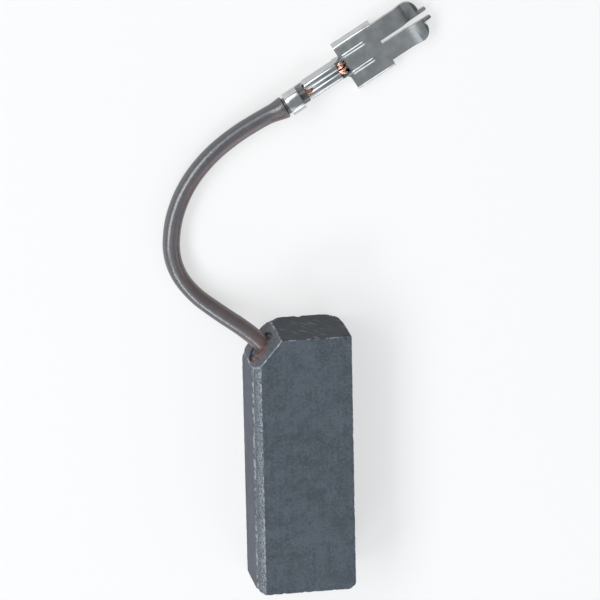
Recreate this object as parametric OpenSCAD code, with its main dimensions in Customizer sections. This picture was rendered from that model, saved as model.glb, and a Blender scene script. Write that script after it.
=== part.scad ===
// Carbon brush: a bevelled carbon block with its sleeved copper lead and a crimped contact.
// Millimetres. The block lies on its back face, centred on the origin, lead end towards +Y.

/* [Carbon block] */
// Width across the broad face
block_width = 12.5; // [12.2:0.1:12.8]
// Length from the wearing end to the lead end
block_length = 34.8; // [34:0.2:35.6]
// Thickness, front face to back face
block_thickness = 8; // [7.8:0.1:8.2]
// Bevel on two opposite long edges, measured across the broad face
bevel_width = 0.7; // [0.4:0.1:1]
// The same bevel, measured down the side face
bevel_depth = 1.9; // [1.2:0.1:2.2]
// How far both ends are off square, in the same direction
end_slant = 2; // [0:0.5:4]
// Break on the two other long edges and on the end edges
edge_break = 0.15; // [0.05:0.05:0.3]
// Corner cut for the lead, measured along the lead end
corner_cut_width = 3.5; // [3.3:0.1:3.8]
// Corner cut for the lead, measured along the side
corner_cut_length = 4; // [3.8:0.1:4.4]
// How deep the chip is that is worn off one corner of the wearing end
chip_depth = 0.5; // [0.3:0.1:0.6]

/* [Lead hole] */
// Bore of the hole, drilled square to the corner cut
hole_diameter = 4.3; // [4:0.1:4.4]
// How far the hole sits from the middle of the corner cut, towards the side
hole_aside = 0.2; // [0:0.05:0.25]
// Depth of the full bore, without the drill point
hole_depth = 9; // [8.5:0.5:10]
// How far below the hole's mouth the tamped copper stops
tamping_depth = 0.5; // [0.3:0.1:0.8]

/* [Lead] */
// Outer diameter of the insulating sleeve
sleeve_diameter = 2.2; // [2.1:0.1:2.2]
// Bore of the insulating sleeve
sleeve_bore = 1.5; // [1.4:0.1:1.6]
// Diameter of the stranded copper wire
wire_diameter = 1.4; // [1.3:0.1:1.4]
// Number of strand tips left free past the wire crimp
strand_tips = 9; // [5:1:12]

/* [Contact] */
// Thickness of the tinned sheet that the contact is folded from
sheet = 0.4; // [0.3:0.05:0.4]
// Width of the flat middle part over its two side walls
plate_width = 6.8; // [6.6:0.1:7.2]
// Length of the flat middle part
plate_length = 5.5; // [5.4:0.1:5.8]
// Height of the side walls, which is also the height of the plate's face
plate_height = 1.3; // [1.2:0.05:1.4]
// Width over the two prongs
prongs_width = 5.6; // [5.3:0.1:5.8]
// Width of the slit between the prongs
slit_width = 0.5; // [0.3:0.05:0.7]
// How far one prong's tip is set down and the other's is set up
prong_set = 0.33; // [0.1:0.01:0.4]

/* [Hidden] */
$fn = 64;
joint_overlap = 0.05;                       // how far fused forms run into each other

// The ends, the corner cut and its hole
function on_end(x, y) = [x, y - x * tan(end_slant)];
cut_on_end = on_end(corner_cut_width - block_width / 2, block_length / 2);
cut_on_side = [-block_width / 2, block_length / 2 - corner_cut_length];
cut_middle = (cut_on_end + cut_on_side) / 2;
cut_normal_angle = 90 + atan2(cut_on_end.y - cut_on_side.y, cut_on_end.x - cut_on_side.x);
drill_point_angle = 118;

// The chip faces out of its corner, this far round from +X and this far over from +Z
chip_turn = -50;
chip_lean = 65;

// The contact lies at the end of the lead, flat on the surface
contact_place = [0.05, 46.3, 0];
contact_turn = 30;
sleeve_grip_start = 0;                      // distances along the contact, from the sleeve's grip
sleeve_grip_end = 1.85;
sleeve_end = 2.8;
barrel_start = 3;
barrel_end = 7.6;
plate_start = 8.5;
plate_aside = 0.35;                         // the plate sits this far to the right of the crimp
plate_end = plate_start + plate_length;
bend_start = plate_end + 3.2;
bend_end = plate_end + 4.3;
prong_end = plate_end + 6;
pip_end = plate_end + 6.9;
grip_bore = sleeve_diameter / 2 + 0.02;
grip_height = grip_bore + sheet;            // the sleeve's middle above the surface, in its grip
barrel_half = 1.27;                         // half the width over the two wings of the wire crimp
lobe_radius = barrel_half / 2;
lobe_height = 1.2;
seam_half = 0.22;                           // the two wings meet in a narrow valley
seam_height = 0.35;
core_half = barrel_half - sheet;            // the squeezed strands inside the wire crimp
core_height = 1.05;
strand_radius = 0.2;
plate_under = plate_height - sheet;
climb_start = barrel_end + 0.5;             // the neck's floor climbs from here to the plate
climb_end = climb_start + plate_under;
bead_place = 1.3;                           // two beads pressed up along the plate
bead_radius = 0.35;
bead_sink = 0.15;
bead_end = plate_start + 3.5;
tip_width = 1.65;                           // the round corner of a prong's tip
tip_length = 1.4;
tip_bevel = 0.12;
pip_width = 0.52;

// Middle of the lead, from the wire's end inside the block to the end of the sleeve
function on_contact(along, height) =
    contact_place + [along * cos(contact_turn), along * sin(contact_turn), height];
wire_inside = [
    [1.45, 10.1, 4], [0.05, 11.3, 3.95], [-1.35, 12.55, 3.85], [-2.6, 13.7, 3.75]
];
sleeve_route = [
    [-3.45, 14.6, 3.65], [-4.3, 15.5, 3.45], [-5.6, 16.7, 2.95], [-7.1, 17.9, 2.35], [-8.7, 19.05, 1.8],
    [-10.25, 20.25, 1.35], [-11.75, 21.55, 1.15], [-13.05, 23.05, 1.1], [-14.1, 24.7, 1.1],
    [-14.8, 26.55, 1.1], [-15.1, 28.5, 1.1], [-15, 30.5, 1.1], [-14.65, 32.45, 1.1],
    [-14, 34.4, 1.1], [-13.15, 36.2, 1.1], [-12.05, 37.9, 1.1], [-10.75, 39.45, 1.1],
    [-9.35, 40.8, 1.1], [-7.8, 42, 1.1], [-6.15, 43.1, 1.12], [-4.4, 44.1, 1.2],
    [-2.6, 45.05, 1.33], [-1.25, 45.65, 1.45], on_contact(0, grip_height), on_contact(sleeve_end, grip_height)
];
wire_route = concat(wire_inside, sleeve_route, [on_contact(barrel_start, grip_height)]);

// Rings of points square to a route, and the triangles that join them into a tube
tube_sides = 8;
function unit(v) = v / norm(v);
function heading(route, i) = unit(route[min(i + 1, len(route) - 1)] - route[max(i - 1, 0)]);
function ring(route, i, radius) =
    let (ahead = heading(route, i), side = unit(cross([0, 0, 1], ahead)), up = cross(ahead, side))
    [for (k = [0:tube_sides - 1])
        let (a = 360 * k / tube_sides) route[i] + radius * (cos(a) * side + sin(a) * up)];
function rings(route, radius) = [for (i = [0:len(route) - 1]) each ring(route, i, radius)];
function band(a, b) = [for (k = [0:tube_sides - 1])
    let (m = (k + 1) % tube_sides) each [[a + k, b + m, b + k], [a + k, a + m, b + m]]];

module rod(route, radius) {
    last = (len(route) - 1) * tube_sides;
    sides = [for (j = [0:tube_sides:last - tube_sides]) each band(j, j + tube_sides)];
    start_face = [for (k = [0:tube_sides - 1]) k];
    end_face = [for (k = [tube_sides - 1:-1:0]) last + k];
    polyhedron(rings(route, radius), concat(sides, [start_face, end_face]), convexity = 8);
}

module hose(route, radius, bore_radius) {
    back = [for (i = [len(route) - 1:-1:0]) route[i]];
    inner = [for (i = [len(route) - 1:-1:0]) each ring(route, i, bore_radius)];
    count = 2 * len(back) * tube_sides;
    sides = [for (j = [0:tube_sides:count - 1]) each band(j, (j + tube_sides) % count)];
    polyhedron(concat(rings(route, radius), inner), sides, convexity = 8);
}

// Turns a drawing of a cross-section into a bar along the contact
module along_contact(from, to) {
    translate([from, 0, 0]) rotate([90, 0, 90]) linear_extrude(to - from) children();
}

// Turns a drawing of a side view into a strip across the contact
module across_contact(from, to) {
    translate([0, to, 0]) rotate([90, 0, 0]) linear_extrude(to - from) children();
}

module on_hole_axis(depth) {
    translate([cut_middle.x, cut_middle.y, block_thickness / 2]) rotate([0, 0, cut_normal_angle])
        translate([0, hole_aside, 0]) rotate([0, 90, 0]) translate([0, 0, -depth]) children();
}

// Block: pressed and baked carbon, cut to size, with two long bevels and the lead's corner cut
module broad_outline() {
    w = block_width / 2;
    l = block_length / 2;
    e = edge_break;
    polygon([on_end(e - w, -l), on_end(w - e, -l), on_end(w, e - l), on_end(w, l - e),
        on_end(w - e, l), cut_on_end, cut_on_side, on_end(-w, e - l)]);
}

module end_outline() {
    w = block_width / 2;
    t = block_thickness;
    e = edge_break;
    polygon([[e - w, 0], [w - bevel_width, 0], [w, bevel_depth], [w, t - e], [w - e, t],
        [bevel_width - w, t], [-w, t - bevel_depth], [-w, e]]);
}

module carbon_block() {
    color("#41474d") difference() {
        intersection() {
            linear_extrude(block_thickness) broad_outline();
            translate([0, block_length, 0]) rotate([90, 0, 0]) linear_extrude(2 * block_length) end_outline();
        }
        hole();
        chip();
    }
}

// Everything past a plane that leans over the corner
module chip() {
    reach = 4;
    corner = on_end(block_width / 2, -block_length / 2);
    translate([corner.x, corner.y, block_thickness]) rotate([0, chip_lean, chip_turn])
        translate([-reach, -reach, -chip_depth]) cube([2 * reach, 2 * reach, reach]);
}

module hole() {
    radius = hole_diameter / 2;
    point_length = radius / tan(drill_point_angle / 2);
    on_hole_axis(hole_depth) cylinder(h = hole_depth + 2, r = radius);
    on_hole_axis(hole_depth + point_length)
        cylinder(h = point_length + joint_overlap, r1 = 0, r2 = radius * (1 + joint_overlap / point_length));
}

// Copper powder tamped round the wire to hold it in the hole
module copper_tamping() {
    color("#8f5a45") difference() {
        intersection() {
            hole();
            on_hole_axis(hole_depth * 2) cylinder(h = hole_depth * 2 - tamping_depth, r = hole_diameter);
        }
        rod(concat(wire_inside, [sleeve_route[0], sleeve_route[1]]), wire_diameter / 2);
        rod([for (i = [0:3]) sleeve_route[i]], sleeve_diameter / 2);
    }
}

// Wire: fine copper strands, squeezed to the crimp's inner shape, with free tips past it
module stranded_wire() {
    color("#c98a6c") {
        rod(wire_route, wire_diameter / 2);
        on_contact_place() {
            along_contact(sleeve_end, barrel_start + joint_overlap) intersection() {
                crimped_core();
                translate([0, grip_height]) circle(r = grip_bore - 0.03);
            }
            along_contact(barrel_start, barrel_end + 0.2) crimped_core();
            for (i = [0:strand_tips - 1]) strand_tip(i);
        }
    }
}

// The tips lie in two rows, fanned out a little, and climb over the neck's floor
module strand_tip(i) {
    row = i % 2;
    fan = 4;
    span = 2 * (core_half - strand_radius) - 0.15;
    place = (i / (strand_tips - 1) - 0.5) * span;
    length = 0.85 + 0.3 * row;
    translate([barrel_end + 0.12, place, sheet + 0.32 + 0.42 * row])
        rotate([0, 60, fan * place]) cylinder(h = length, r = strand_radius, $fn = 24);
}

// Sleeve: a soft tube over the wire, from just inside the hole to just past its grip
module insulating_sleeve() {
    color("#6b6462") hose(sleeve_route, sleeve_diameter / 2, sleeve_bore / 2);
}

// Contact: one strip of tinned sheet, cut, folded and closed on the sleeve and on the wire
module terminal() {
    color("#8d9395") on_contact_place() {
        difference() {
            union() {
                sleeve_grip();
                wire_crimp();
            }
            along_contact(barrel_start, barrel_end) crimped_core();
        }
        neck();
        plate();
        for (side = [-1, 1]) prong(side);
    }
}

module on_contact_place() {
    translate(contact_place) rotate([0, 0, contact_turn]) children();
}

// The grip wraps the sleeve once and a bit more, so that one wing's tip lies over the other
function wing_lift(a) = let (u = min(max((-a - 200) / 70, 0), 1)) (sheet + 0.03) * u * u * (3 - 2 * u);
function wing_point(a, radius) = [cos(a), sin(a)] * (radius + wing_lift(a)) + [0, grip_height];

module sleeve_grip() {
    turn = [for (a = [78:-6:-318]) a];
    back = [for (i = [len(turn) - 1:-1:0]) turn[i]];
    along_contact(sleeve_grip_start, sleeve_grip_end)
        polygon(concat([for (a = turn) wing_point(a, grip_bore + sheet)],
            [for (a = back) wing_point(a, grip_bore)]));
    trough = [for (a = [-30:-6:-150]) a];
    trough_back = [for (i = [len(trough) - 1:-1:0]) trough[i]];
    along_contact(sleeve_grip_end - joint_overlap, barrel_start + joint_overlap)
        polygon(concat([for (a = trough) wing_point(a, grip_bore + sheet)],
            [for (a = trough_back) wing_point(a, grip_bore)]));
}

// The wire crimp: two wings curled in until their tips press into the strands
module crimped_core() {
    translate([-core_half, sheet]) square([2 * core_half, core_height - sheet]);
    for (side = [-1, 1]) translate([side * (core_half - 0.3), core_height]) circle(r = 0.3);
}

module wire_crimp() {
    along_contact(barrel_start, barrel_end) {
        translate([-core_half, 0]) square([2 * core_half, sheet]);
        for (side = [-1, 1]) {
            translate([side * core_half, sheet]) circle(r = sheet);
            translate([side * lobe_radius, lobe_height]) circle(r = lobe_radius);
        }
        translate([-barrel_half, sheet]) square([2 * barrel_half, lobe_height - sheet]);
        translate([-seam_half, lobe_height - joint_overlap]) square([2 * seam_half, seam_height]);
    }
}

// The neck: an open trough whose floor climbs to the plate and whose walls run on as two beads
module neck() {
    open_end = climb_end + 0.15;
    across_contact(-barrel_half, barrel_half)
        polygon([[barrel_end - joint_overlap, 0], [climb_start, 0], [climb_end, plate_under],
            [open_end, plate_under], [open_end, plate_height], [climb_end - 0.1, plate_height],
            [climb_start - 0.1, sheet], [barrel_end - joint_overlap, sheet]]);
    for (side = [-1, 1]) {
        wall_middle = side * (barrel_half - sheet / 2);
        across_contact(wall_middle - sheet / 2, wall_middle + sheet / 2)
            polygon([[barrel_end - joint_overlap, 0], [climb_start, 0], [climb_end, plate_under],
                [open_end, plate_under], [open_end, plate_height + 0.1], [barrel_end - joint_overlap, 1.5]]);
    }
}

// The plate: a flat face with a wall folded down along each side, and two beads pressed up in it
module plate() {
    bend = sheet + 0.1;
    half = plate_width / 2;
    difference() {
        union() {
            translate([0, -plate_aside, 0]) along_contact(plate_start, plate_end) {
                translate([bend - half, plate_height - bend]) square([plate_width - 2 * bend, bend]);
                for (side = [-1, 1]) {
                    translate([side * (half - bend), plate_height - bend]) circle(r = bend);
                    translate([side * (half - bend / 2) - bend / 2, 0]) square([bend, plate_height - bend]);
                }
            }
            for (side = [-1, 1]) neck_fillet(side);
            for (side = [-1, 1]) bead(side, plate_height - bead_sink, bead_radius);
        }
        translate([0, -plate_aside, 0]) along_contact(plate_start - 1, plate_end + 1)
            translate([sheet - half, -1]) square([plate_width - 2 * sheet, plate_height - sheet + 1]);
        along_contact(plate_start - 1, climb_end)
            translate([sheet / 2 - barrel_half, 0]) square([2 * barrel_half - sheet, 2 * plate_height]);
        for (side = [-1, 1]) bead(side, plate_height - sheet - bead_sink, bead_radius - 0.05);
    }
}

module bead(side, height, radius) {
    translate([climb_end, side * bead_place, height]) {
        rotate([0, 90, 0]) cylinder(h = bead_end - climb_end, r = radius);
        translate([bead_end - climb_end, 0, 0]) sphere(r = radius);
    }
}

module neck_fillet(side) {
    radius = 0.6;
    translate([plate_start - radius, side * (barrel_half + radius), plate_height - sheet])
        linear_extrude(sheet) difference() {
            translate([0, side > 0 ? -radius : 0]) square([radius + joint_overlap, radius]);
            circle(r = radius);
        }
}

// The prongs: two tongues with bevelled round tips, one set down and one set up, each with a pip
module prong(side) {
    shift = -side * prong_set;
    outer = prongs_width / 2;
    intersection() {
        linear_extrude(3) prong_outline(side, slit_width / 2, outer);
        across_contact(-outer, outer) prong_side_view(plate_under, plate_height, shift);
    }
    translate([0, side * (slit_width + pip_width) / 2, plate_under + shift + joint_overlap])
        linear_extrude(sheet - 2 * joint_overlap) {
            pip_start = prong_end - 0.3;
            pip_middle = pip_end - pip_width / 2;
            translate([pip_start, -pip_width / 2]) square([pip_middle - pip_start, pip_width]);
            translate([pip_middle, 0]) circle(r = pip_width / 2);
        }
}

module prong_outline(side, inner, outer) {
    start = plate_end - joint_overlap;
    rounding = [for (a = [0:10:90])
        [prong_end - tip_length + tip_length * cos(a), side * (outer - tip_width + tip_width * sin(a))]];
    polygon(concat([[start, side * inner], [prong_end, side * inner]], rounding, [[start, side * outer]]));
}

module prong_side_view(under, face, shift) {
    start = plate_end - joint_overlap;
    polygon([[start, under], [bend_start, under], [bend_end, under + shift],
        [prong_end - 0.4, under + shift], [prong_end, under + shift + tip_bevel],
        [prong_end, face + shift - tip_bevel], [prong_end - 0.5, face + shift],
        [bend_end, face + shift], [bend_start, face], [start, face]]);
}

carbon_block();
copper_tamping();
stranded_wire();
insulating_sleeve();
terminal();
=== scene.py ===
import bmesh
import bpy
import numpy as np
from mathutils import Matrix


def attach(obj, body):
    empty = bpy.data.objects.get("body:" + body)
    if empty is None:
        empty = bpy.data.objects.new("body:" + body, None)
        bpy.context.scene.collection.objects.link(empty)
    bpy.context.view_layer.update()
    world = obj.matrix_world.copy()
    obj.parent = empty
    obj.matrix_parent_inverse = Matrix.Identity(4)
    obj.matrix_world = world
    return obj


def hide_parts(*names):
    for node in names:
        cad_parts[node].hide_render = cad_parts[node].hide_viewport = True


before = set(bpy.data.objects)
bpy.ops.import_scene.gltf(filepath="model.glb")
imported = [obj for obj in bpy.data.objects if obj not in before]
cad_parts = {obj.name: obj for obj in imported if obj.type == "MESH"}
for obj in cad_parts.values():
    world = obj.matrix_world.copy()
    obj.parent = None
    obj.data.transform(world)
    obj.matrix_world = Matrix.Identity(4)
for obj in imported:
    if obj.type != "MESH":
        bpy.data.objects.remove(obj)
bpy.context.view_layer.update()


# ---- Camera ----------------------------------------------------------------------------------
# It looks down on the brush where it lies, from beyond its lead end and from the side of the cut
# corner, through a long lens that keeps the block's long edges almost parallel.
camera_lens = bpy.data.cameras.new("camera")
camera_lens.sensor_width = 36
camera_lens.lens = 375
camera = bpy.data.objects.new("camera", camera_lens)
camera.location = (-0.15019, 0.3155, 0.71395)
camera.rotation_euler = np.radians((-21.834, -12.444, -1.159))
bpy.context.scene.collection.objects.link(camera)
bpy.context.scene.camera = camera


# ---- Insulating sleeve -----------------------------------------------------------------------
# A soft brown-grey tube that is slid over the wire. It starts just inside the hole, bows round in
# one loose curve on the surface, and ends just past the contact's first wings, which grip it.
MM = 0.001
contact_place = MM * np.array([0.05, 46.3, 0])
contact_turn = np.radians(30)
contact_ahead = np.array([np.cos(contact_turn), np.sin(contact_turn), 0])
grip_height = 1.52 * MM
sleeve_end = 2.8 * MM  # along the contact, from its start

sleeve_radius = 1.1 * MM
sleeve_bore_radius = 0.75 * MM
sleeve_route = np.vstack([MM * np.array([
    [-3.45, 14.6, 3.65], [-4.3, 15.5, 3.45], [-5.6, 16.7, 2.95], [-7.1, 17.9, 2.35],
    [-8.7, 19.05, 1.8], [-10.25, 20.25, 1.35], [-11.75, 21.55, 1.15], [-13.05, 23.05, 1.1],
    [-14.1, 24.7, 1.1], [-14.8, 26.55, 1.1], [-15.1, 28.5, 1.1], [-15, 30.5, 1.1],
    [-14.65, 32.45, 1.1], [-14, 34.4, 1.1], [-13.15, 36.2, 1.1], [-12.05, 37.9, 1.1],
    [-10.75, 39.45, 1.1], [-9.35, 40.8, 1.1], [-7.8, 42, 1.1], [-6.15, 43.1, 1.12],
    [-4.4, 44.1, 1.2], [-2.6, 45.05, 1.33], [-1.25, 45.65, 1.45]]),
    contact_place + [0, 0, grip_height],
    contact_place + sleeve_end * contact_ahead + [0, 0, grip_height]])


def smooth_route(points, steps):
    """Catmull-Rom curve: between two points it is the cubic whose end slopes are half the chords
    between each point's neighbours. Returns steps points for each stretch, and the last point."""
    padded = np.vstack([2 * points[0] - points[1], points, 2 * points[-1] - points[-2]])
    before, start, end, after = (padded[i:len(padded) - 3 + i, None] for i in range(4))
    t = (np.arange(steps) / steps)[None, :, None]
    curve = 0.5 * (2 * start + (end - before) * t
                   + (2 * before - 5 * start + 4 * end - after) * t ** 2
                   + (3 * start - before - 3 * end + after) * t ** 3)
    return np.vstack([curve.reshape(-1, 3), points[-1]])


def travelled(route):
    """Distance along a route at each of its points."""
    return np.r_[0, np.cumsum(np.linalg.norm(np.diff(route, axis=0), axis=1))]


def across_route(route):
    """Two unit vectors square to the route at each point: one level, and one square to both."""
    ahead = np.gradient(route, axis=0)
    ahead /= np.linalg.norm(ahead, axis=1)[:, None]
    level = np.cross([0, 0, 1], ahead)
    level /= np.linalg.norm(level, axis=1)[:, None]
    return level, np.cross(ahead, level)


def round_bar(route, radii, sides):
    """A circle carried along a route: each point is the middle, plus the radius times the cosine
    of the angle along the level direction and times its sine along the upright one."""
    level, upright = across_route(route)
    a = np.linspace(0, 2 * np.pi, sides, endpoint=False)[None, :, None]
    radii = np.broadcast_to(radii, len(route))[:, None, None]
    return route[:, None] + radii * (np.cos(a) * level[:, None] + np.sin(a) * upright[:, None])


def grid_faces(rows, columns, ring_of_rows=False, ring_of_columns=True):
    """Quads between neighbours of a grid of points that is stored row by row."""
    r = np.arange(rows if ring_of_rows else rows - 1)[:, None]
    c = np.arange(columns if ring_of_columns else columns - 1)[None, :]
    r_next, c_next = (r + 1) % rows, (c + 1) % columns
    quads = [r * columns + c, r * columns + c_next, r_next * columns + c_next, r_next * columns + c]
    return np.stack(np.broadcast_arrays(*quads), -1).reshape(-1, 4)


def make_piece(name, grids, crease=40, **rings):
    """One closed mesh from grids of points, with shared points merged, faces turned outwards, and
    edges sharper than crease degrees left sharp."""
    corners, faces, count = [], [], 0
    for grid in grids:
        rows, columns = grid.shape[:2]
        faces.append(grid_faces(rows, columns, **rings) + count)
        corners.append(grid.reshape(-1, 3))
        count += rows * columns
    mesh = bpy.data.meshes.new(name)
    mesh.from_pydata(np.vstack(corners), [], np.vstack(faces).tolist())
    work = bmesh.new()
    work.from_mesh(mesh)
    bmesh.ops.remove_doubles(work, verts=work.verts, dist=1e-7)
    bmesh.ops.dissolve_degenerate(work, edges=work.edges, dist=1e-8)
    bmesh.ops.recalc_face_normals(work, faces=work.faces)
    work.to_mesh(mesh)
    work.free()
    mesh.shade_smooth()
    mesh.set_sharp_from_angle(angle=np.radians(crease))
    piece = bpy.data.objects.new(name, mesh)
    bpy.context.scene.collection.objects.link(piece)
    return piece


class Value:
    """A socket of a finish. Python's +, - and * on it add the Math nodes that work them out."""

    def __init__(self, finish, socket):
        self.finish = finish
        self.socket = socket

    def maths(self, operation, *values):
        return self.finish.node("ShaderNodeMath", dict(enumerate(values)), operation=operation)

    def __add__(self, other):
        return self.maths("ADD", self, other)

    def __sub__(self, other):
        return self.maths("SUBTRACT", self, other)

    def __rsub__(self, other):
        return self.maths("SUBTRACT", other, self)

    def __mul__(self, other):
        return self.maths("MULTIPLY", self, other)

    __radd__ = __add__
    __rmul__ = __mul__

    def rise(self, low, high, start=0, end=1):
        """start below low, end above high, and a smooth step between them: 3t^2 - 2t^3, where t is
        the place between the limits. Swapped limits make a fall."""
        limits = {"Value": self, "From Min": low, "From Max": high, "To Min": start, "To Max": end}
        return self.finish.node("ShaderNodeMapRange", limits, interpolation_type="SMOOTHSTEP")


class Finish:
    """The nodes of a material or of the world. node() adds every one of them but the shader, whose
    sockets shade() sets."""

    def __init__(self, owner, shader="Principled BSDF"):
        owner.use_nodes = True
        self.owner = owner
        self.tree = owner.node_tree
        self.shader = self.tree.nodes[shader]

    def fill(self, node, sockets):
        for name, value in sockets.items():
            if isinstance(value, Value):
                self.tree.links.new(value.socket, node.inputs[name])
            else:
                node.inputs[name].default_value = value

    def node(self, kind, sockets, output=0, **settings):
        node = self.tree.nodes.new(kind)
        for name, value in settings.items():
            setattr(node, name, value)
        self.fill(node, sockets)
        return Value(self, node.outputs[output])

    def place(self):
        return self.node("ShaderNodeTexCoord", {}, output="Object")

    def along(self, axis, place=None):
        """The dot product of the place and an axis: how far along the axis it is, in metres, where
        the axis has unit length."""
        sockets = {0: place or self.place(), 1: tuple(axis)}
        return self.node("ShaderNodeVectorMath", sockets, output="Value", operation="DOT_PRODUCT")

    def stretched(self, factors):
        """The place times three factors, which draws out what is laid on it."""
        return self.node("ShaderNodeMapping", {"Vector": self.place(), "Scale": factors})

    def mark(self, name):
        return self.node("ShaderNodeAttribute", {}, output="Fac", attribute_name=name)

    def grain(self, size, detail, place=None):
        """Noise from 0 to 1, whose spots are about size metres wide."""
        sockets = {"Vector": place or self.place(), "Scale": 1 / size, "Detail": detail}
        return self.node("ShaderNodeTexNoise", sockets)

    def blend(self, amount, low, high):
        """The colour low where amount is 0 and high where it is 1."""
        colors = {6: rgb(low), 7: rgb(high)}
        return self.node("ShaderNodeMix", {0: amount, **colors}, output=2, data_type="RGBA")

    def bump(self, height, depth):
        """Relief that stands depth metres high where height is 1."""
        return self.node("ShaderNodeBump", {"Height": height, "Distance": depth, "Strength": 1})

    def shade(self, **sockets):
        self.fill(self.shader, {name.replace("_", " "): value for name, value in sockets.items()})
        return self.owner


def rgb(color):
    return color if isinstance(color, Value) else (*color, 1)


middle = smooth_route(sleeve_route, 12)
sleeve_sides = 40
sleeve_length = travelled(middle)[-1]
grip_length = 3.1 * MM
tight_bend_place = 14 * MM
lip = 0.12 * MM

# The grip makes the tube swell up to it, by a bell curve of the distance, and the tight bend beside
# the block draws it thinner by another. Both ends have a lip between the outer and the inner wall.
past_grip = travelled(middle) - sleeve_length + grip_length
swelling = np.where(past_grip <= -0.1 * MM, 0.3 * np.exp(-(past_grip / (1.5 * MM)) ** 2), 0)
thinning = 0.06 * np.exp(-((travelled(middle) - tight_bend_place) / (4 * MM)) ** 2)
outside = round_bar(middle, sleeve_radius * (1 + swelling - thinning), sleeve_sides)
inside = round_bar(middle, sleeve_bore_radius, sleeve_sides)[::-1]
start_lip = round_bar(middle[:2], sleeve_radius - lip, sleeve_sides)[:1]
end_lip = round_bar(middle[-2:], sleeve_radius - lip, sleeve_sides)[1:]
outside[0] += 0.7 * lip * (middle[1] - middle[0]) / np.linalg.norm(middle[1] - middle[0])
outside[-1] -= 0.7 * lip * contact_ahead
sleeve = make_piece("insulating_sleeve_tube", [np.vstack([start_lip, outside, end_lip, inside])],
                    ring_of_rows=True)

# 1 on the inner side of the bow and -1 on its outer side.
towards_bow = -np.cos(np.linspace(0, 2 * np.pi, sleeve_sides, endpoint=False))
sleeve.data.attributes.new("inner", "FLOAT", "POINT").data.foreach_set(
    "value", np.tile(towards_bow, 2 * len(middle) + 2))

# Its inner side of the bow is painted browner, a painted shade for how the light falls there, and
# copper dust from the hole clings to its root.
grey_skin, painted_shade_brown = (0.058, 0.06, 0.068), (0.098, 0.068, 0.066)
pale_dust, copper_dust = (0.15, 0.13, 0.14), (0.2, 0.075, 0.045)
sleeve_finish = Finish(bpy.data.materials.new("brown_grey_sleeve"))
cloud = sleeve_finish.grain(3 * MM, 3)
speck = sleeve_finish.grain(0.35 * MM, 3)
# Painted shade: the browner inner side of the bow, blurred by the cloud.
inner_brown_shade = (sleeve_finish.mark("inner") + cloud * 1.6 - 0.8).rise(-0.5, 0.7)
stain = sleeve_finish.grain(0.8 * MM, 3).rise(0.45, 0.6)
root = sleeve_finish.along((0, 1, 0)).rise(17.3 * MM, 15.6 * MM)
neck = sleeve_finish.along((1, 0, 0)).rise(-2.6 * MM, -0.8 * MM)
skin = sleeve_finish.blend(inner_brown_shade, grey_skin, painted_shade_brown)
skin = sleeve_finish.blend(speck.rise(0.55, 0.75) * 0.35, skin, pale_dust)
skin = sleeve_finish.blend(stain * (root * 0.6 + neck * 0.2), skin, copper_dust)
sleeve.data.materials.append(sleeve_finish.shade(
    Base_Color=skin, Roughness=speck * 0.12 + 0.24, IOR=1.75,
    Normal=sleeve_finish.bump(cloud * 2 + speck * 0.5, 0.03 * MM)))
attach(sleeve, "root")
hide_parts("insulating_sleeve")


# ---- Contact ---------------------------------------------------------------------------------
# One strip of tinned brass sheet, cut, folded and closed on the sleeve and on the bare wire, with
# two prongs at its end. The press leaves its edges slightly round and its flats bright.
tin_dull, tin_bright = (0.47, 0.485, 0.485), (0.6, 0.61, 0.605)
tin = Finish(bpy.data.materials.new("bright_tin"))
smear = tin.grain(1.5 * MM, 3)
rub = tin.grain(0.5 * MM, 4)
tinned_sheet = tin.shade(
    Base_Color=tin.blend(smear.rise(0.3, 0.7), tin_dull, tin_bright), Metallic=1.0,
    Roughness=rub * 0.16 + 0.12, Normal=tin.bump(smear * 2 + rub, 0.005 * MM))


def apply_modifiers(piece):
    """Puts what the piece's modifiers make of its mesh in the mesh's place."""
    done = piece.evaluated_get(bpy.context.evaluated_depsgraph_get())
    mesh = bpy.data.meshes.new_from_object(done)
    piece.modifiers.clear()
    piece.data = mesh


def rounded_copy(name, source, radius):
    """The source's mesh with its shared corners merged and its sharp edges rounded by short arcs,
    which are shaded smoothly into the large flats beside them."""
    flat_angle, rounded_angle, sharp_angle = np.radians((1, 35, 32))
    mesh = source.data.copy()
    mesh.name = name
    work = bmesh.new()
    work.from_mesh(mesh)
    bmesh.ops.remove_doubles(work, verts=work.verts, dist=1e-6)
    bmesh.ops.dissolve_limit(work, angle_limit=flat_angle, verts=work.verts, edges=work.edges)
    sharp = [edge for edge in work.edges
             if edge.is_manifold and edge.calc_face_angle() > rounded_angle]
    bmesh.ops.bevel(work, geom=sharp, offset=radius, offset_type="OFFSET", segments=3,
                    profile=0.5, affect="EDGES", clamp_overlap=True)
    work.to_mesh(mesh)
    work.free()
    mesh.shade_smooth()
    mesh.set_sharp_from_angle(angle=sharp_angle)
    piece = bpy.data.objects.new(name, mesh)
    piece.matrix_world = source.matrix_world
    bpy.context.scene.collection.objects.link(piece)
    step = piece.modifiers.new("flats", "WEIGHTED_NORMAL")
    step.keep_sharp = True
    step.weight = 100
    apply_modifiers(piece)
    return piece


contact = rounded_copy("terminal_rounded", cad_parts["terminal"], 0.07 * MM)
contact.data.materials.clear()
contact.data.materials.append(tinned_sheet)
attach(contact, "root")
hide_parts("terminal")


# ---- Stranded wire ---------------------------------------------------------------------------
# Fine soft copper strands in one twisted bundle, from the foot of the hole to the contact. Past
# the crimp they part into two short blunt tufts, side by side against the plate's end.
def on_contact(along, height):
    """A place over the contact's middle line, from millimetres along it and above the surface."""
    return contact_place + MM * (along * contact_ahead + height * np.array([0, 0, 1]))


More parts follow.
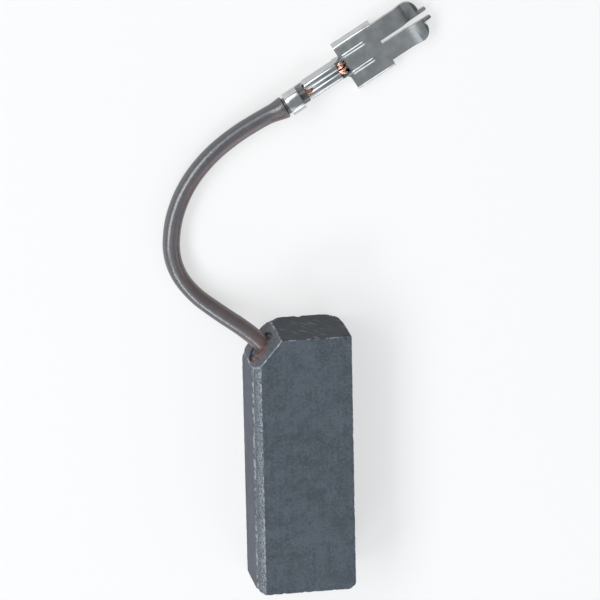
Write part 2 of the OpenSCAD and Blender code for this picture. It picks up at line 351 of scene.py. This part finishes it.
strand_radius, strand_sides = 0.105 * MM, 8
strand_rings = [(0, 1), (0.2, 6), (0.4, 12), (0.58, 18)]  # radius in mm, number of strands
twist_length = 11 * MM
crimp_start, straight_start, tuft_start = 5.5 * MM, 4.5 * MM, 1.3 * MM  # back from the tips
tuft_left, tuft_right, half_middle = 0.56, -0.42, 0.28  # mm to the left of the bundle's middle

wire_route = np.vstack([
    MM * np.array([[1.45, 10.1, 4], [0.05, 11.3, 3.95], [-1.35, 12.55, 3.85], [-2.6, 13.7, 3.75]]),
    sleeve_route[:-1],
    [on_contact(along, height) for along, height in [
        (1.4, 1.5), (2.8, 1.3), (4, 0.85), (5.2, 0.8), (6.4, 0.8), (7.3, 0.9), (7.95, 1.2),
        (8.4, 1.42)]]])
wire_middle = smooth_route(wire_route, 4)
wire_place = travelled(wire_middle)
wire_length = wire_place[-1]
level, upright = across_route(wire_middle)
twist = 2 * np.pi * np.minimum(wire_place, wire_length - straight_start) / twist_length
parted = np.clip((wire_place - wire_length + tuft_start) / MM, 0, 1)[:, None]
pressed = np.clip((wire_place - wire_length + crimp_start) / MM, 0, 1) * (1 - parted[:, 0])


def strand(ring_radius, angle, wander_start, cut_short):
    """One strand of the bundle. It runs round the bundle's middle at its ring's radius, turned by
    its own angle, by the twist and by a small sine of the distance. The crimp presses the bundle
    flatter. Past it the strand moves over with its half of the bundle to the tuft on its side, by
    3t^2 - 2t^3, where t goes from 0 to 1 over a millimetre. It narrows to a blunt tip."""
    turned = angle + twist + 0.25 * np.sin(wire_place / (3 * MM) + wander_start)
    left, high = ring_radius * np.cos(turned), ring_radius * np.sin(turned)
    spot = np.stack([left, high * (1 - 0.35 * pressed)], -1)
    tuft = tuft_left if left[-1] > 0 else tuft_right
    from_half = left[-1] - np.sign(left[-1]) * half_middle
    final = np.array([tuft + 1.1 * from_half, 0.75 * high[-1]])
    spot += parted * parted * (3 - 2 * parted) * (final - spot)
    path = wire_middle + MM * (spot[:, :1] * level + spot[:, 1:] * upright)
    path = path[:len(path) - cut_short]
    ahead = path[-1] - path[-2]
    ahead /= np.linalg.norm(ahead)
    path = np.vstack([path[0] - 0.02 * MM * ahead, path, path[-1] + 0.05 * MM * ahead,
                      path[-1] + 0.06 * MM * ahead])
    radii = np.full(len(path), strand_radius)
    radii[[0, -1]] = 0.0005 * MM
    radii[-2] = 0.7 * strand_radius
    return round_bar(path, radii, strand_sides)


luck = np.random.default_rng(7)
wire = make_piece("stranded_wire_strands", [
    strand(ring_radius, angle, luck.uniform(0, 6), luck.integers(0, 3))
    for number, (ring_radius, count) in enumerate(strand_rings)
    for angle in np.arange(count) * 2 * np.pi / count + 0.2 * number], crease=60)

copper_dull, copper_bright = (0.5, 0.24, 0.17), (0.88, 0.58, 0.46)
copper = Finish(bpy.data.materials.new("copper_strand"))
dull = copper.grain(0.4 * MM, 3)
wire.data.materials.append(copper.shade(
    Base_Color=copper.blend(dull.rise(0.3, 0.6), copper_dull, copper_bright),
    Metallic=1.0, Roughness=dull * 0.2 + 0.3))
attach(wire, "root")
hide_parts("stranded_wire")


# ---- Carbon block ----------------------------------------------------------------------------
# Carbon powder, pressed and baked hard, then sawn and ground to size. Its edges have crumbled a
# little, most of all along the bevel, and one corner of the wearing end has broken off.
block_width, block_length, block_thickness = 12.5 * MM, 34.8 * MM, 8 * MM
bevel_width, bevel_depth = 0.7 * MM, 1.9 * MM
end_slope = np.tan(np.radians(2))
cut_width, cut_length = 3.5 * MM, 4 * MM
half_width, half_length = block_width / 2, block_length / 2
cut_crease = cut_width - half_width
cut_slope = (cut_length - cut_crease * end_slope) / cut_width
cut_normal = np.array([-cut_slope, 1, 0]) / np.hypot(cut_slope, 1)
cut_down = np.array([-1, -cut_slope, 0]) / np.hypot(cut_slope, 1)
hole_mouth = np.array([(cut_crease - half_width) / 2,
                       half_length - (cut_length + cut_crease * end_slope) / 2,
                       block_thickness / 2]) + 0.2 * MM * cut_down
hole_radius, hole_depth = 2.15 * MM, 9 * MM


def lattice_noise(points, size, seed):
    """Smooth noise from 0 to 1: a hashed number at each corner of a cubic lattice of the given
    size, blended along the three axes by 3t^2 - 2t^3, where t is the place inside the cell."""
    cell = np.floor(points / size).astype(np.int64)
    t = points / size - cell
    t = t * t * (3 - 2 * t)
    total = np.zeros(len(points))
    for corner in np.ndindex(2, 2, 2):
        key = (cell + corner) @ [73856093, 19349663, 83492791] + seed * 2654435761
        key = (key ^ (key >> 13)) * 1274126177 & 0x7FFFFFFF
        key = (key ^ (key >> 15)) * 668265263 & 0x7FFFFFFF
        weight = np.prod(np.where(corner, t, 1 - t), axis=1)
        total += weight * (key / 0x7FFFFFFF)
    return total


wide_step, edge_step, edge_zone = 0.27 * MM, 0.07 * MM, 0.8 * MM


def spread(low, high):
    """Places from low to high, closest at both ends, where the edges crumble: t runs evenly from
    -1 to 1, and is mixed with the sine of t quarter turns."""
    t = np.linspace(-1, 1, int((high - low) / wide_step) + 2 * int(edge_zone / edge_step))
    ease = edge_step / wide_step
    t = ease * t + (1 - ease) * np.sin(t * np.pi / 2)
    return low + (high - low) * (t + 1) / 2


def block_surface(across, along, up):
    """Sides of a lattice box, bent to the block: x is across, z runs by up from the lower to the
    upper edge of the section at x, and y by along from one end to the other at x. The bevels
    make the section's edges slope, and the corner cut makes the lead end slope."""
    x, s, t = (grid.ravel() for grid in np.meshgrid(across, along, up, indexing="ij"))
    slope = bevel_depth / bevel_width
    low = np.maximum(0, (x - half_width + bevel_width) * slope)
    high = np.minimum(block_thickness, block_thickness + (x + half_width - bevel_width) * slope)
    start = -half_length - x * end_slope
    end = half_length - x * end_slope + np.minimum(0, x - cut_crease) * (cut_slope + end_slope)
    points = np.stack([x, start + s * (end - start), low + t * (high - low)], -1)
    return points.reshape([n for n in (len(across), len(along), len(up)) if n > 1] + [3])


bevel_steps = np.linspace(0, bevel_width, 13)
across = np.unique(np.round(np.r_[
    bevel_steps - half_width, half_width - bevel_steps, cut_crease,
    spread(-half_width + bevel_width, cut_crease),
    spread(cut_crease, half_width - bevel_width)], 8))
along = spread(0, block_length) / block_length
up = spread(0, block_thickness) / block_thickness
sides = [block_surface(across[[i]], along, up) for i in (0, -1)]
sides += [block_surface(across, along[[i]], up) for i in (0, -1)]
sides += [block_surface(across, along, up[[i]]) for i in (0, -1)]

bevel_lean = np.array([-bevel_depth, 0, bevel_width]) / np.hypot(bevel_depth, bevel_width)
end_lean = np.array([end_slope, 1, 0]) / np.hypot(end_slope, 1)
chip_lean = np.array([0.58, -0.69, 0.42]) / np.linalg.norm([0.58, -0.69, 0.42])
chipped_corner = np.array([half_width, -half_length - half_width * end_slope, block_thickness])
chip_place = chipped_corner - 0.5 * MM * chip_lean
flats = {  # the direction that each one faces, and a point on it
    "upper face": [(0, 0, 1), (0, 0, block_thickness)],
    "lower face": [(0, 0, -1), (0, 0, 0)],
    "cut side": [(-1, 0, 0), (-half_width, 0, 0)],
    "far side": [(1, 0, 0), (half_width, 0, 0)],
    "upper bevel": [bevel_lean, (bevel_width - half_width, 0, block_thickness)],
    "lower bevel": [-bevel_lean, (half_width - bevel_width, 0, 0)],
    "lead end": [end_lean, (0, half_length, 0)],
    "wearing end": [-end_lean, (0, -half_length, 0)],
    "corner cut": [cut_normal, (-half_width, half_length - cut_length, 0)],
    "chip": [chip_lean, chip_place]}
leans, flat_places = (np.array(column) for column in zip(*flats.values()))


def depth_in(points):
    """How far each point lies below each of the block's flats, with one column for each flat."""
    return np.einsum("pk,pk->p", leans, flat_places) - points @ leans.T


nicks = MM * np.array([  # x, y and z on an edge, width and depth
    [1.1, 17.36, 0, 0.25, 0.2], [-2.75, 17.5, 0, 0.8, 0.45], [5.55, 17.2, 0, 0.8, 0.3],
    [6.25, 17.18, 1.9, 0.8, 0.1], [-4.4, -17.25, 8, 0.2, 0.1], [-3.1, -17.3, 8, 0.22, 0.1],
    [-0.4, -17.39, 8, 0.2, 0.12], [0.9, -17.43, 8, 0.25, 0.1], [3.4, -17.52, 8, 0.2, 0.1],
    [6.25, 3.5, 8, 0.3, 0.12], [6.25, -6.2, 8, 0.25, 0.1], [-6.25, -17.18, 6.1, 0.35, 0.22],
    [5.6, 17.2, 8, 0.4, 0.25], [-6.25, 13.4, 0.3, 0.5, 0.4]])


def worn(points):
    """Edges and flats as handling leaves them. A point's nearness to a flat is 1 on it and 0 from
    a radius below it. The point sinks under each flat by 0.29 radii times the square of its
    nearness to that flat and to the nearest other one. Noise sets the radius, and pits the faces.
    Each nick draws points away from the flats within 0.2 mm of it, by its depth times e to minus
    the squared distance in widths. What stands past the chip is first laid back on its flat."""
    shape = points.shape
    points = points.reshape(-1, 3).copy()
    past_chip = np.maximum(0, (points - chip_place) @ chip_lean)
    points -= past_chip[:, None] * chip_lean
    rough = lattice_noise(points, 0.9 * MM, 1)
    fine = lattice_noise(points, 0.28 * MM, 2)
    lump = lattice_noise(points, 2.6 * MM, 3)
    radius = MM * (0.1 + 0.16 * rough * fine + 0.75 * np.clip(lump * rough - 0.5, 0, 1))
    near = np.clip(1 - depth_in(points) / radius[:, None], 0, 1)
    order = np.sort(near, axis=1)
    rival = np.where(near == order[:, -1:], order[:, -2:-1], order[:, -1:])
    sink = 0.29 * radius[:, None] * (near * rival) ** 2
    pits = 0.02 * MM * fine * order[:, -1]
    moved = points - sink @ leans - pits[:, None] * leans[near.argmax(axis=1)]
    for *spot, width, depth in nicks:
        inwards = -leans.T @ (depth_in(np.array([spot]))[0] < 0.2 * MM)
        inwards /= np.linalg.norm(inwards)
        reach = np.exp(-np.sum((points - spot) ** 2, axis=1) / width ** 2)
        moved += depth * (reach * (0.6 + 0.8 * fine))[:, None] * inwards
    return moved.reshape(shape)


block_crease = 35
block = make_piece("carbon_block_worn", [worn(side) for side in sides], crease=block_crease,
                   ring_of_columns=False)

# The hole is drilled square to the corner cut, and its rim has broken a little wider.
rim_radius, tip_radius = hole_radius + 0.15 * MM, 0.001 * MM
drill_profile = np.array([  # depth, radius
    [-1.21 * MM, tip_radius], [-1.2 * MM, rim_radius], [-0.12 * MM, rim_radius],
    [0.12 * MM, hole_radius], [hole_depth / 2, hole_radius], [hole_depth, hole_radius],
    [hole_depth + 0.01 * MM, tip_radius]])
drill = make_piece("hole_cutter", [
    round_bar(hole_mouth - drill_profile[:, :1] * cut_normal, drill_profile[:, 1], 96)])


def cut_out(piece, tool):
    """Takes the tool's shape out of the piece's mesh, and deletes the tool."""
    step = piece.modifiers.new("cut", "BOOLEAN")
    step.object = tool
    step.solver = "EXACT"
    apply_modifiers(piece)
    bpy.data.objects.remove(tool)


cut_out(block, drill)
block.data.set_sharp_from_angle(angle=np.radians(block_crease))

# 1 on an edge, where two flats meet, and 0 from 0.22 mm inside it.
spots = np.empty(3 * len(block.data.vertices))
block.data.vertices.foreach_get("co", spots)
second_nearest = np.sort(depth_in(spots.reshape(-1, 3)), axis=1)[:, 1]
block.data.attributes.new("edge", "FLOAT", "POINT").data.foreach_set(
    "value", np.clip(1 - second_nearest / (0.22 * MM), 0, 1))

carbon = Finish(bpy.data.materials.new("baked_carbon"))


def on_flat(name):
    """1 on one of the block's flats, and 0 from 0.12 mm below it."""
    lean, place = flats[name]
    level = np.dot(lean, place)
    return carbon.along(lean).rise(level - 0.12 * MM, level - 0.03 * MM)


mottle = carbon.grain(1.6 * MM, 4)
cloud = carbon.grain(5 * MM, 2)
fleck = carbon.grain(0.22 * MM, 2).rise(0.63, 0.76)
pit = carbon.grain(0.3 * MM, 2).rise(0.36, 0.25)
grit = carbon.grain(0.24 * MM, 3).rise(0.4, 0.62)
streak = carbon.grain(1 * MM, 2, carbon.stretched((2.2, 0.12, 1)))
tone = mottle * 0.3 + cloud * 0.2 + streak * 0.15 + carbon.grain(0.3 * MM, 3) * 0.35

bevel = on_flat("upper bevel") + on_flat("lower bevel")
lead_end, facet, cut_side = on_flat("lead end"), on_flat("corner cut"), on_flat("cut side")

# Slanted scratches from the saw, on the lead end.
slanted = carbon.node("ShaderNodeCombineXYZ", {
    "X": carbon.along((0.25, 0, 0.3)), "Y": carbon.along((0.77, 0, -0.64)) * 3})
scratch = carbon.grain(1 * MM, 2, slanted).rise(0.56, 0.66)
scratch = scratch * carbon.grain(2 * MM, 1).rise(0.46, 0.58)

# The bevel has crumbled most beside the upper face. Edges are painted pale, partly as rubbing and
# partly as a painted highlight along them, which is strongest round the corner cut where it meets
# the upper face.
by_face = carbon.along((1, 0, 0)).rise(0.15 * MM - half_width, 0.6 * MM - half_width)
crumbled = bevel * grit * (by_face * 0.7 + 0.3)
edge = carbon.mark("edge").rise(0.2, 0.6)
rubbed_and_highlit = edge * carbon.grain(0.6 * MM, 3).rise(0.42, 0.62)
upper = carbon.along((0, 0, 1)).rise(7.3 * MM, 7.8 * MM)
rubbed_and_highlit = rubbed_and_highlit + edge * facet.rise(0, 0.4) * (upper * 0.88 + 0.12) * 0.7

carbon_dark, carbon_pale, glint = (0.046, 0.057, 0.07), (0.073, 0.088, 0.106), (0.17, 0.19, 0.21)
skin = carbon.blend(tone.rise(0.4, 0.6), carbon_dark, carbon_pale)
# The lead end is painted darker, and the cut side, the corner cut and the bevel each get a tone of
# their own: painted light and shade for how the lamps fall on each flat. The saw scratches, the
# grit and the crumbling on them are their own.
for cover, color in [
        (fleck * 0.45, glint),
        (pit * 0.45, (0.03, 0.036, 0.045)),
        (lead_end, (0.032, 0.037, 0.045)),
        (lead_end * (scratch * 0.7 + fleck * 0.3), glint),
        (lead_end * mottle.rise(0.45, 0.62) * 0.5, (0.022, 0.026, 0.032)),
        (cut_side * 0.6, (0.044, 0.049, 0.068)),
        (facet * 0.6, (0.055, 0.062, 0.074)),
        (facet * grit * 0.4, (0.17, 0.18, 0.2)),
        (bevel * 0.6, (0.052, 0.064, 0.078)),
        (crumbled * 0.85, (0.23, 0.252, 0.28)),
        # Painted highlight and rubbing: the pale edges.
        (rubbed_and_highlit * 0.6, (0.34, 0.36, 0.39))]:
    skin = carbon.blend(cover, skin, color)
block.data.materials.clear()
block.data.materials.append(carbon.shade(
    Base_Color=skin, Roughness=0.68 - tone * 0.2, IOR=1.35,
    Normal=carbon.bump(mottle * 0.3 + grit * 0.5 + fleck, 0.012 * MM)))
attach(block, "root")
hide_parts("carbon_block")


# ---- Copper tamping --------------------------------------------------------------------------
# Copper powder, rammed into the hole round the wire until it holds, nearly flush with the corner
# cut. Carbon dust darkens it, but for its upper part on the side away from the lead end.
plug_radius = hole_radius - 0.01 * MM
plug_length = 2.5 * MM
plug_rings = np.array([0, 0.14, 0.28, 0.4, 0.5, 0.6, 0.7, 0.78, 0.86, 0.93, 0.98, 1])
plug_lumps = [(0.8 * MM, 0.3 * MM, 5), (0.3 * MM, 0.16 * MM, 6)]  # width, depth, seed

# Rings in the plane of the corner cut: the radius times the cosine of the angle down the cut, and
# times its sine upwards. The front sinks by two sizes of noise, and flat rings close the back.
angles = np.linspace(0, 2 * np.pi, 120, endpoint=False)
rim = np.cos(angles)[:, None] * cut_down + np.sin(angles)[:, None] * np.array([0, 0, 1])
disc = hole_mouth + plug_rings[:, None, None] * plug_radius * rim
sunk = 0.02 * MM + sum(depth * lattice_noise(disc.reshape(-1, 3), width, seed)
                       for width, depth, seed in plug_lumps)
front = disc - sunk.reshape(disc.shape[:2])[:, :, None] * cut_normal
back = disc - plug_length * cut_normal
plug = make_piece("copper_tamping_plug", [np.vstack([front, back[::-1]])], crease=70)

dust_dark, dust_pale, bare_copper = (0.03, 0.032, 0.038), (0.1, 0.105, 0.12), (0.21, 0.08, 0.052)
powder = Finish(bpy.data.materials.new("tamped_copper"))
mouth_level = hole_mouth @ cut_down
bare = powder.grain(0.7 * MM, 3).rise(0.4, 0.55)
bare = bare * powder.along(cut_down).rise(mouth_level - 1.2 * MM, mouth_level - 0.2 * MM)
bare = bare * powder.along((0, 0, 1)).rise(3.2 * MM, 4.4 * MM)
dust = powder.blend(powder.grain(0.35 * MM, 3).rise(0.35, 0.65), dust_dark, dust_pale)
plug.data.materials.append(powder.shade(
    Base_Color=powder.blend(bare * 0.8, dust, bare_copper), Roughness=0.75,
    Normal=powder.bump(powder.grain(0.2 * MM, 2), 0.06 * MM)))
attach(plug, "root")
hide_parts("copper_tamping")


# ---- Floor and light -------------------------------------------------------------------------
# A light table: a plain pale surface that glows a little, under three soft lamps. The pale room
# round it has a dark and a pale card and the lamps' fronts, for the tin and the copper to mirror.
floor_half = 2.0
floor_corners = floor_half * np.array([[-1, -1, 0], [1, -1, 0], [1, 1, 0], [-1, 1, 0]])
floor_mesh = bpy.data.meshes.new("floor")
floor_mesh.from_pydata(floor_corners, [], [(0, 1, 2, 3)])
floor = bpy.data.objects.new("floor", floor_mesh)
bpy.context.scene.collection.objects.link(floor)
surface_grey, surface_glow = (0.3, 0.3, 0.3, 1), (0.58, 0.58, 0.58, 1)
surface = Finish(bpy.data.materials.new("pale_surface"))
floor_mesh.materials.append(surface.shade(
    Base_Color=surface_grey, Roughness=0.9, Emission_Color=surface_glow, Emission_Strength=1))


def softbox(name, place, width, height, watts):
    """A rectangular lamp that faces the middle of the floor."""
    data = bpy.data.lights.new(name, "AREA")
    data.shape = "RECTANGLE"
    data.size, data.size_y = width, height
    data.energy = watts
    lamp = bpy.data.objects.new(name, data)
    lamp.location = place
    lamp.rotation_euler = (-lamp.location).to_track_quat("-Z", "Y").to_euler()
    bpy.context.scene.collection.objects.link(lamp)


softbox("left_softbox", (-0.68, 0.08, 0.6), 1.05, 0.3, 8)
softbox("near_softbox", (-0.45, -0.75, 0.6), 0.4, 0.25, 3.2)
softbox("right_softbox", (0.8, -0.3, 0.55), 0.5, 0.4, 0.8)

# The room's glow and its patches: the direction of each, the cosines of the angles from there at
# which it starts and is full, and its own glow.
room = Finish(bpy.data.worlds.new("studio"), "Background")
toward = room.node("ShaderNodeTexCoord", {}, output="Generated")
glow = 0.35
for direction, start, full, strength in [
        ((0.58, -0.14, 0.8), 0.955, 0.985, 0.08),  # the dark card
        ((-0.19, -0.59, 0.79), 0.915, 0.97, 1.1),  # the pale card
        ((0.34, -0.63, 0.7), 0.978, 0.992, 1.7),  # the near lamp
        ((0.45, -0.82, 0.35), 0.96, 0.985, 2.5),  # the low near lamp
        ((-0.46, 0.73, 0.5), 0.955, 0.985, 3)]:  # the far lamp
    glow = room.along(direction, toward).rise(start, full, glow, strength)
bpy.context.scene.world = room.shade(Color=(0.9, 0.95, 1, 1), Strength=glow)
bpy.context.scene.view_settings.view_transform = "Standard"
